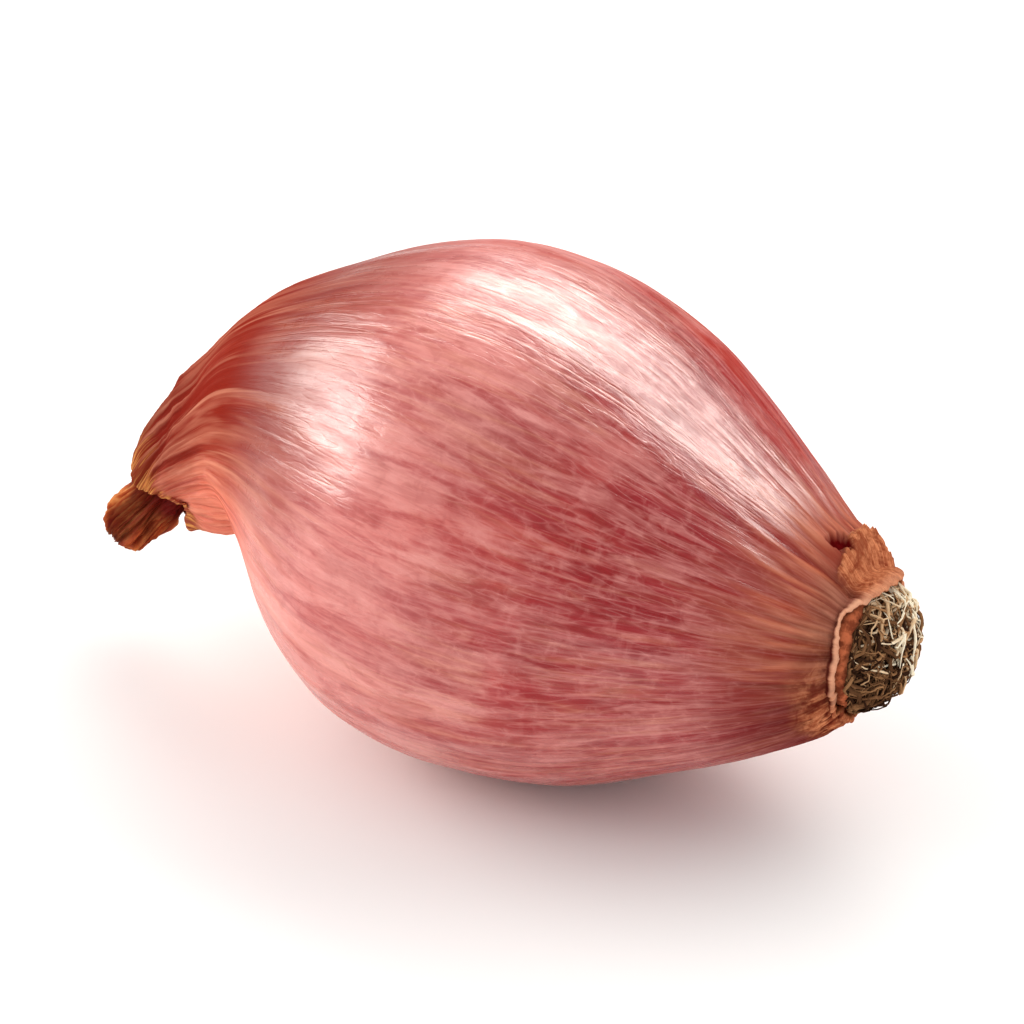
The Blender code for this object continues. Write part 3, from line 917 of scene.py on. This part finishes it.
# The finish of the skin. "along" is the place on the line, "cosine" is 1 on top and -1 below, and "sine"
# is 1 on the far side. A fade goes from 0 at its first number to 1 at its second.
skinPaint = {
    "shader": {"IOR": 1.5, "Specular IOR Level": 0.5},
    # waves across the bulb, waves along it, where the pattern starts, detail, roughness, distortion
    "streaks": {
        "broad": (2.4, 3.2, 0.0, 4.0, 0.55, 0.0),
        "middle": (9.0, 10.0, 0.0, 5.0, 0.62, 0.3),
        "fine": (34.0, 13.0, 0.0, 3.0, 0.6, 0.4),
        "veins": (12.0, 3.0, 5.0, 1.5, 0.5, 0.2),
        "scratches": (24.0, 20.0, 9.0, 1.0, 0.5, 0.1),
        "pale": (6.0, 4.5, 3.0, 5.0, 0.6, 0.4),
        "stripes": (6.5, 7.0, 31.0, 4.0, 0.65, 0.5),
        "drawnOut": (7.0, 4.0, 11.0, 4.0, 0.6, 0.3),
        "drawnFine": (16.0, 5.0, 21.0, 3.0, 0.6, 0.2),
        "farTone": (6.0, 5.0, 41.0, 5.0, 0.65, 0.4),
    },
    # waves a metre, detail, roughness, distortion
    "specks": {
        "blotch": (90.0, 4.0, 0.6, 0.5),
        "mottle": (640.0, 3.0, 0.6, 0.6),
        "papery": (1700.0, 4.0, 0.7, 0.0),
        "stain": (420.0, 4.0, 0.7, 0.8),
    },
    "fades": {
        # along
        "neck": (0.54, 0.74), "rootHalf": (0.42, 0.10), "root": (0.15, 0.01), "farNeck": (0.72, 0.88),
        "brickPlace": (0.50, 0.66), "tip": (0.70, 0.86), "collarFoot": (0.035, 0.0), "pitShade": (0.050, 0.022),
        "inside": (0.3, 0.5), "dryNeck": (0.57, 0.70), "dryRoot": (0.15, 0.04),
        # cosine and sine
        "sunSide": (-0.45, 0.55), "under": (-0.10, -0.85), "paleSide": (-0.70, -0.25),
        "lipShadeSide": (0.75, 0.35), "farUpper": (0.0, 0.5),
        "farStart": (0.05, 0.50), "farEnd": (0.96, 0.70),
        # streaks, specks and what the rings carry
        "patchy": (0.42, 0.60), "deep": (0.40, 0.62), "pale": (0.50, 0.72), "veins": (0.35, 0.6),
        "darkStripes": (0.49, 0.58), "paleStripes": (0.50, 0.40), "fineLight": (0.46, 0.66),
        "fineDark": (0.52, 0.36), "speckLight": (0.48, 0.70), "speckDark": (0.48, 0.30),
        "valley": (0.55, 0.98), "furrow": (0.25, 0.55), "brickAndShadow": (0.36, 0.72), "drawnLight": (0.50, 0.68),
        "drawnDark": (0.46, 0.34), "crease": (0.82, 1.0), "farTone": (0.40, 0.64), "crust": (0.38, 0.62),
        "stain": (0.48, 0.62), "lipSpeck": (0.46, 0.66), "husk": (0.40, 0.62), "lip": (0.50, 0.90),
        "torn": (0.0, 0.9), "gold": (0.48, 0.60),
    },
    # these rise between their first two numbers and fall between the last two
    "shoulder": (0.24, 0.50, 0.62, 0.74),
    "lipShade": (0.05, 0.30, 0.45, 0.75),
    # painted shade in brick red beside the pit
    "pitShadeTurn": -0.14,
    "pitShadeNarrow": 70.0,
    "veinSharpness": 18.0,
    "scratchSharpness": 16.0,
    # how much each pattern counts where several make one
    "weights": {
        "deep": (0.35, 0.35, 0.30, 0.10), "furrow": (0.3, 0.7), "brickAndShadow": (0.12, 0.13, 0.35, 0.40),
        "even": (0.5, 0.5), "relief": (1.3, 0.30, 0.25, 0.12), "rough": (0.10, 0.12, 0.10, 0.10),
    },
    # how much of its colour each coat lays on, and how much of it is lost or gained in some places
    "shares": {
        "pale": 0.60, "paleLostAtRoot": 0.25, "shoulder": 0.58, "under": 0.36, "rootHalf": 0.50,
        "darkStripes": 0.48, "paleStripes": 0.30, "fineLight": 0.30, "speckLight": 0.22, "speckDark": 0.18,
        "fineDark": 0.22, "neck": 0.70, "root": 0.88, "furrow": 0.80, "ridgeInSun": 0.60, "ridge": 0.05,
        "collarFoot": 0.7, "veins": 0.24, "scratches": 0.25, "scratchesLostAtRoot": 0.15, "ribInSun": 0.35,
        "rib": 0.02, "neckRib": 0.12, "brick": 0.95, "drawnLight": 0.36, "drawnDark": 0.40, "crease": 0.20,
        "farNeck": 0.3, "tip": 0.35, "farStreaks": 0.62, "farSide": 0.10, "farNeckLoss": 0.6, "stain": 0.75,
        "pitShade": 0.7, "scale": 0.9, "lipSpeck": 0.45, "holes": 0.85, "lipShade": 0.8, "lip": 0.9,
        "lipLostOnScale": 0.6, "torn": 0.8, "patchyDry": 0.58, "farDry": 0.35,
    },
    "holesGain": 1.3,
    "pitGain": 1.2,
    "leastRough": 0.17,
    "flatWhereDry": 0.7,
    "mottleRelief": 0.10,
    "bumpStrength": 0.6,
    "bumpHeight": 0.15 * mm,
    "colours": {
        "rose": colour(194, 72, 66),
        "deepRose": colour(144, 31, 35),
        "paleRose": colour(232, 154, 146),
        "crimson": colour(166, 42, 50),
        "salmon": colour(224, 118, 92),
        "ember": colour(180, 60, 48),
        "brick": colour(128, 29, 19),
        "peach": colour(240, 166, 134),
        "wine": colour(88, 16, 18),
        "copper": colour(130, 38, 26),
        # the dark red of painted shade: in the root end's folds, along the collar's foot, on the collar's lip
        # and on top near the neck's tip
        "shadeRed": colour(76, 18, 16),
        "lip": colour(244, 180, 144),
        "orange": colour(204, 112, 78),
        "tan": colour(222, 142, 98),
        "bark": colour(158, 80, 50),
        "recess": colour(150, 84, 52),
        "umber": colour(126, 50, 28),
        "gold": colour(216, 148, 84),
        "bloodRed": colour(104, 12, 14),
        "hollow": colour(84, 20, 14),
    },
}


def paintSkin(maker):
    cosine, sine, along = maker.parted(attribute(maker, "grain", "Vector"))
    place = maker.add("ShaderNodeTexCoord", out="Object")
    labels = ("rib", "valley", "inner", "rise", "scale", "pit", "holes", "tear", "crease")
    rib, valley, inner, rise, scale, pit, holes, tear, crease = (attribute(maker, label) for label in labels)
    shares, tones = skinPaint["shares"], skinPaint["colours"]

    def streaks(name):
        turns, length, start, *grain = skinPaint["streaks"][name]
        return maker.noise(maker.joined(cosine * turns + start, sine * turns, along * length), grain=grain)

    def specks(name):
        waves, *grain = skinPaint["specks"][name]
        return maker.noise(place, waves, grain)

    def fade(name, value):
        return maker.ease(*skinPaint["fades"][name], value)

    def weighed(name, *values):
        return maker.weighed(skinPaint["weights"][name], *values)

    def upToOne(value):
        return maker.maths("MINIMUM", value, 1.0)

    neckZone, rootZone, rootHalf = fade("neck", along), fade("root", along), fade("rootHalf", along)
    sunSide = fade("sunSide", cosine)
    blotch, mottle, papery, stain = (specks(name) for name in ("blotch", "mottle", "papery", "stain"))
    broad, middle, fine = streaks("broad"), streaks("middle"), streaks("fine")
    stripes, farTone = streaks("stripes"), streaks("farTone")
    drawnOut, drawnFine = streaks("drawnOut"), streaks("drawnFine")
    veins = maker.crest(streaks("veins")) ** skinPaint["veinSharpness"] * fade("veins", blotch)
    scratches = maker.crest(streaks("scratches")) ** skinPaint["scratchSharpness"]
    patchy = fade("patchy", middle)
    pale = fade("pale", streaks("pale"))
    shoulder = maker.between(skinPaint["shoulder"], along)
    deep = fade("deep", weighed("deep", broad, blotch, middle, rootHalf))
    # furrow marks the fold valleys that are darkened as painted shade
    furrow = fade("valley", valley) * fade("furrow", weighed("furrow", pale, broad))
    ridge = maker.maths("MAXIMUM", rootZone - valley, 0.0) * patchy
    # brick red on the neck's upper side: partly the skin's own colour, partly painted shadow as if from a
    # bulb beside it
    brickAndShadow = fade("brickAndShadow", weighed("brickAndShadow", blotch, middle, drawnOut, sunSide))
    farSide = fade("farStart", sine) * fade("farEnd", sine) * fade("farUpper", cosine)
    farSide = farSide * (1 - rootZone) * (1 - neckZone * shares["farNeckLoss"])
    pitShadeTurn = skinPaint["pitShadeTurn"]
    toPitShade = cosine * math.cos(pitShadeTurn) + sine * math.sin(pitShadeTurn) - 1
    pitShade = maker.maths("EXPONENT", toPitShade * skinPaint["pitShadeNarrow"]) * fade("pitShade", along)
    lipShade = maker.between(skinPaint["lipShade"], rise) * fade("lipShadeSide", cosine)

    # tones that are mixed before they go on
    # painted light and shade: the root end's skin is darker wine underneath and copper on its top side
    rootTone = mixed(maker, sunSide, tones["wine"], tones["copper"])
    crustTone = mixed(maker, fade("crust", weighed("even", papery, fine)), tones["bark"], tones["tan"])
    crustTone = mixed(maker, fade("stain", stain) * shares["stain"], crustTone, tones["umber"])
    huskTone = mixed(maker, fade("husk", weighed("even", stain, papery)), tones["umber"], tones["tan"])
    lipTone = mixed(maker, fade("lipSpeck", mottle) * shares["lipSpeck"], tones["lip"], tones["orange"])
    lipTone = mixed(maker, fade("paleSide", cosine), huskTone, lipTone)
    within = mixed(maker, fade("inside", along), tones["recess"], tones["hollow"])

    # each coat covers the ones before it by its share
    paleShare = pale * (shares["pale"] - rootHalf * shares["paleLostAtRoot"])
    # the underside is made paler: painted light, the bounce of the pale floor
    paleShare = paleShare + shoulder * shares["shoulder"] + fade("under", cosine) * shares["under"]
    ribShare = rootZone * (sunSide * shares["ribInSun"] + shares["rib"]) + neckZone * shares["neckRib"]
    coats = (
        (deep, tones["deepRose"]),
        (paleShare, tones["paleRose"]),
        (rootHalf * shares["rootHalf"], tones["deepRose"]),
        (fade("darkStripes", stripes) * (1 - neckZone) * shares["darkStripes"], tones["crimson"]),
        (fade("paleStripes", stripes) * (1 - rootZone) * shares["paleStripes"], tones["paleRose"]),
        (fade("fineLight", fine) * shares["fineLight"], tones["paleRose"]),
        (fade("speckLight", mottle) * shares["speckLight"], tones["paleRose"]),
        (fade("speckDark", mottle) * shares["speckDark"], tones["deepRose"]),
        (fade("fineDark", fine) * shares["fineDark"], tones["deepRose"]),
        (neckZone * shares["neck"], tones["salmon"]),
        (rootZone * shares["root"], rootTone),
        # painted shade: the fold valleys at the root end are darkened
        (rootZone * furrow * shares["furrow"], tones["shadeRed"]),
        # painted light: the ridges at the root end are paler on the top side, as are the ribs below
        (ridge * (sunSide * shares["ridgeInSun"] + shares["ridge"]), tones["orange"]),
        # painted shade: a dark band on the skin along the foot of the collar
        (fade("collarFoot", along) * shares["collarFoot"], tones["shadeRed"]),
        (veins * shares["veins"], tones["peach"]),
        (scratches * (shares["scratches"] - rootZone * shares["scratchesLostAtRoot"]), tones["paleRose"]),
        (rib * rib * ribShare, tones["peach"]),
        # brick red, deepest on top: partly own colour, partly painted shadow
        (fade("brickPlace", along) * brickAndShadow * shares["brick"], tones["brick"]),
        (neckZone * fade("drawnLight", drawnFine) * shares["drawnLight"], tones["peach"]),
        (neckZone * fade("drawnDark", drawnFine) * shares["drawnDark"], tones["brick"]),
        (neckZone * fade("crease", crease) * shares["crease"], tones["peach"]),
        (fade("farNeck", along) * patchy * shares["farNeck"], tones["brick"]),
        # painted shadow: darker on the top side near the neck's tip
        (fade("tip", along) * sunSide * shares["tip"], tones["shadeRed"]),
        (farSide * (fade("farTone", farTone) * shares["farStreaks"] + shares["farSide"]), tones["ember"]),
        # painted shade beside the pit
        (pitShade * shares["pitShade"], tones["brick"]),
        (upToOne(scale) * shares["scale"], crustTone),
        (upToOne(holes * skinPaint["holesGain"]) * shares["holes"], tones["hollow"]),
        (lipShade * shares["lipShade"], tones["shadeRed"]),
        (fade("lip", rise) * (shares["lip"] - scale * shares["lipLostOnScale"]), lipTone),
        (upToOne(pit * skinPaint["pitGain"]), tones["bloodRed"]),
        (fade("torn", tear) * shares["torn"], tones["umber"]),
        (tear * fade("gold", weighed("even", middle, fine)), tones["gold"]),
        (inner, within),
    )
    base = tones["rose"]
    for share, tone in coats:
        base = mixed(maker, share, base, tone)

    dry = upToOne(scale + rise)
    relief = weighed("relief", middle, fine, veins, scratches) * (1 - dry * skinPaint["flatWhereDry"])
    relief = relief + mottle * skinPaint["mottleRelief"]
    bump = maker.add("ShaderNodeBump", None, {
        "Strength": skinPaint["bumpStrength"], "Distance": skinPaint["bumpHeight"], "Height": relief,
    })
    rough = weighed("rough", mottle, patchy, neckZone, rootZone) + skinPaint["leastRough"]
    dryness = maker.maths("MAXIMUM", dry, pit)
    matted = patchy * shares["patchyDry"], farSide * (farTone + shares["farDry"])
    for more in (fade("dryNeck", along), fade("dryRoot", along), *matted):
        dryness = maker.maths("MAXIMUM", dryness, more)
    return {"Base Color": base, "Roughness": rough, "Normal": bump, "Dryness": dryness}


nubPaint = {
    "shader": {"IOR": 1.45, "Specular IOR Level": 0.02},
    "streak": (9.0, 16.0, 4.0, 0.65, 0.6),  # waves across, waves along, detail, roughness, distortion
    "patch": (500.0, 3.0, 0.5, 0.0),  # waves a metre, detail, roughness, distortion
    "stops": (
        (0.30, colour(92, 24, 14)), (0.44, colour(140, 48, 28)),
        (0.56, colour(188, 92, 48)), (0.74, colour(232, 160, 92)),
    ),
    "toneWeights": (0.45, 0.25, 0.30),  # streak, patch, rib
    # painted shade: the valleys between the nub's folds are darkened
    "valley": colour(88, 20, 12),
    "valleyShare": 0.8,
    "valleyGain": 1.2,
    # painted shade: the nub darkens at its foot, where it goes into the sheath
    "foot": colour(92, 16, 12),
    "footTo": (0.900, 0.945),
    "inside": colour(52, 16, 10),
    "bumpStrength": 0.7,
    "bumpHeight": 0.20 * mm,
    "patchRelief": 0.3,
    "leastRough": 0.50,
    "streakRough": 0.2,
}


def paintNub(maker):
    cosine, sine, along = maker.parted(attribute(maker, "grain", "Vector"))
    turns, length, *streakGrain = nubPaint["streak"]
    patchScale, *patchGrain = nubPaint["patch"]
    streak = maker.noise(maker.joined(cosine * turns, sine * turns, along * length), grain=streakGrain)
    patch = maker.noise(maker.add("ShaderNodeTexCoord", out="Object"), patchScale, patchGrain)
    shade = maker.weighed(nubPaint["toneWeights"], streak, patch, attribute(maker, "rib"))
    base = maker.add("ShaderNodeValToRGB", {"stops": nubPaint["stops"]}, {"Fac": shade})
    # painted shade in the fold valleys
    inValley = maker.maths("MINIMUM", attribute(maker, "valley") * nubPaint["valleyGain"], 1.0)
    base = mixed(maker, inValley * nubPaint["valleyShare"], base, nubPaint["valley"])
    # painted shade at the foot, where the nub goes into the sheath
    base = mixed(maker, 1 - maker.ease(*nubPaint["footTo"], along), base, nubPaint["foot"])
    base = mixed(maker, attribute(maker, "inner"), base, nubPaint["inside"])
    relief = streak + patch * nubPaint["patchRelief"]
    bump = maker.add("ShaderNodeBump", None, {
        "Strength": nubPaint["bumpStrength"], "Distance": nubPaint["bumpHeight"], "Height": relief,
    })
    rough = streak * nubPaint["streakRough"] + nubPaint["leastRough"]
    return {"Base Color": base, "Roughness": rough, "Normal": bump}


rootPaint = {
    "shader": {"IOR": 1.4, "Specular IOR Level": 0.0},
    "fibre": (1500.0, 3.0, 0.6, 0.0),  # waves a metre, detail, roughness, distortion
    "stops": (
        (0.0, colour(52, 32, 22)), (0.22, colour(112, 76, 50)), (0.48, colour(172, 126, 86)),
        (0.68, colour(222, 186, 144)), (0.88, colour(255, 242, 214)),
    ),
    "toneWeights": (0.85, 0.3),  # the strand's own tone, fibre
    "toneShift": -0.1,
    "foot": colour(104, 64, 42),
    "footTo": 0.20,
    "footShare": 0.6,
    "hem": (colour(132, 62, 40), colour(206, 112, 74)),
    "hemFade": (0.35, 0.65),
    "hemShare": 0.9,
    "bumpStrength": 0.6,
    "bumpHeight": 0.08 * mm,
    "leastRough": 0.68,
    "fibreRough": 0.2,
}


def paintRoots(maker):
    waves, *grain = rootPaint["fibre"]
    fibre = maker.noise(maker.add("ShaderNodeTexCoord", out="Object"), waves, grain)
    shade = maker.weighed(rootPaint["toneWeights"], attribute(maker, "tone"), fibre) + rootPaint["toneShift"]
    base = maker.add("ShaderNodeValToRGB", {"stops": rootPaint["stops"]}, {"Fac": shade})
    atFoot = 1 - maker.ease(0.0, rootPaint["footTo"], attribute(maker, "along"))
    base = mixed(maker, atFoot * rootPaint["footShare"], base, rootPaint["foot"])
    hem = mixed(maker, maker.ease(*rootPaint["hemFade"], fibre), *rootPaint["hem"])
    base = mixed(maker, attribute(maker, "hem") * rootPaint["hemShare"], base, hem)
    bump = maker.add("ShaderNodeBump", None, {
        "Strength": rootPaint["bumpStrength"], "Distance": rootPaint["bumpHeight"], "Height": fibre,
    })
    rough = fibre * rootPaint["fibreRough"] + rootPaint["leastRough"]
    return {"Base Color": base, "Roughness": rough, "Normal": bump}


def dress(piece, slotName, *nodes):
    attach(piece, "root")
    if nodes:
        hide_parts(*nodes)


linePlaces = walkLine()
seat = seatOfLine(linePlaces)
lineObject = makeLineObject(linePlaces)
print("middle line: walked")

skinFinish = finish("pinkSkin", skinPaint["shader"], paintSkin)
nubFinish = finish("driedLeaf", nubPaint["shader"], paintNub)
rootFinish = finish("dryRoots", rootPaint["shader"], paintRoots)

rows = skinRows()
skinSizes = ringSizes(rows, skin["sides"], skinFinish)
bulbSkin = grow("bulbSkin", meshOfRows("bulbSkin", rows), buildRings, skinSizes)
rows = nubRows()
nubSizes = ringSizes(rows, nub["sides"], nubFinish, **nub["sizes"])
neckNub = grow("neckNub", meshOfRows("neckNub", rows), buildRings, nubSizes)
rootPlate = grow("rootPlate", makeDomeMesh(), buildRootMat, {
    "Count": rootMat["count"],
    "Steps": rootMat["steps"],
    "Sides": rootMat["sides"],
    "Curl": rootMat["curl"],
    "Spread": rootMat["spread"],
    "Dome Roughness": rootMat["domeRoughness"],
    "Seat X": seat.x,
    "Seat Z": seat.z,
    "Seed": rootMat["seed"],
    "Material": rootFinish,
})
bpy.data.objects.remove(lineObject)
dress(bulbSkin, "pink_skin", "bulb")
dress(neckNub, "pink_skin")
dress(rootPlate, "dry_root", "root_plate")


# The camera looks from the photograph's side, at its height and distance.
camera = {
    "azimuth": 31.0,
    "elevation": 30.0,
    "distance": 0.90,
    "fieldWidth": 85 * mm,
    "aim": (-0.6 * mm, -0.4 * mm, 21.3 * mm),
    "sensorWidth": 36.0,
    "clip": (0.05, 20.0),
}


def lookFrom(azimuth, elevation):
    a, e = math.radians(azimuth), math.radians(elevation)
    return Vector((math.sin(a) * math.cos(e), -math.cos(a) * math.cos(e), math.sin(e)))


# Puts a camera or a lamp out from the aim, turned back to it.
def placeOut(name, data, azimuth, elevation, distance):
    made = bpy.data.objects.new(name, data)
    outward = lookFrom(azimuth, elevation)
    made.location = Vector(camera["aim"]) + outward * distance
    made.rotation_euler = outward.to_track_quat("Z", "Y").to_euler()
    bpy.context.scene.collection.objects.link(made)
    return made


def addCamera():
    lens = bpy.data.cameras.new("photoCamera")
    lens.sensor_width = camera["sensorWidth"]
    lens.lens = lens.sensor_width * camera["distance"] / camera["fieldWidth"]
    lens.clip_start, lens.clip_end = camera["clip"]
    made = placeOut("photoCamera", lens, camera["azimuth"], camera["elevation"], camera["distance"])
    bpy.context.scene.camera = made
    print("camera: placed")


studio = {
    "floorSize": 3.0,
    "floor": {"Base Color": (0.86, 0.86, 0.86, 1.0), "Roughness": 0.9},
    "worldColour": (1.0, 1.0, 1.0, 1.0),
    "worldStrength": 0.90,
    "lightColour": (1.0, 0.94, 0.88),
    # azimuth and elevation from the shallot, distance, sides, power that lights all, power that shows
    # only as sheen
    "lights": (
        ("leftWindow", -73, 26, 0.50, (0.50, 0.22), 1.3, 8.5),
        ("backWindow", 171, 51, 0.55, (0.90, 0.30), 1.3, 34.0),
    ),
}


def addLight(name, azimuth, elevation, distance, sides, power):
    lamp = bpy.data.lights.new(name, "AREA")
    lamp.shape = "RECTANGLE"
    lamp.size, lamp.size_y = sides
    lamp.energy = power
    lamp.color = studio["lightColour"]
    return placeOut(name, lamp, azimuth, elevation, distance)


def addStudio():
    bm = bmesh.new()
    bmesh.ops.create_grid(bm, x_segments=1, y_segments=1, size=studio["floorSize"] / 2)
    mesh = bpy.data.meshes.new("floor")
    bm.to_mesh(mesh)
    bm.free()
    floor = bpy.data.objects.new("floor", mesh)
    bpy.context.scene.collection.objects.link(floor)
    mesh.materials.append(finish("paleFloor", studio["floor"], lambda maker: {}))
    for name, azimuth, elevation, distance, sides, power, sheen in studio["lights"]:
        addLight(name, azimuth, elevation, distance, sides, power)
        gloss = addLight(name + "Sheen", azimuth, elevation, distance, sides, sheen)
        gloss.visible_diffuse = False
    world = bpy.data.worlds.new("studio")
    bpy.context.scene.world = world
    world.use_nodes = True
    sky = world.node_tree.nodes["Background"]
    sky.inputs["Color"].default_value = studio["worldColour"]
    sky.inputs["Strength"].default_value = studio["worldStrength"]
    # the skin mirrors the windows alone, as in a dark room
    world.cycles_visibility.glossy = False
    bpy.context.scene.view_settings.view_transform = "Standard"
    print("studio: lit")


addCamera()
addStudio()
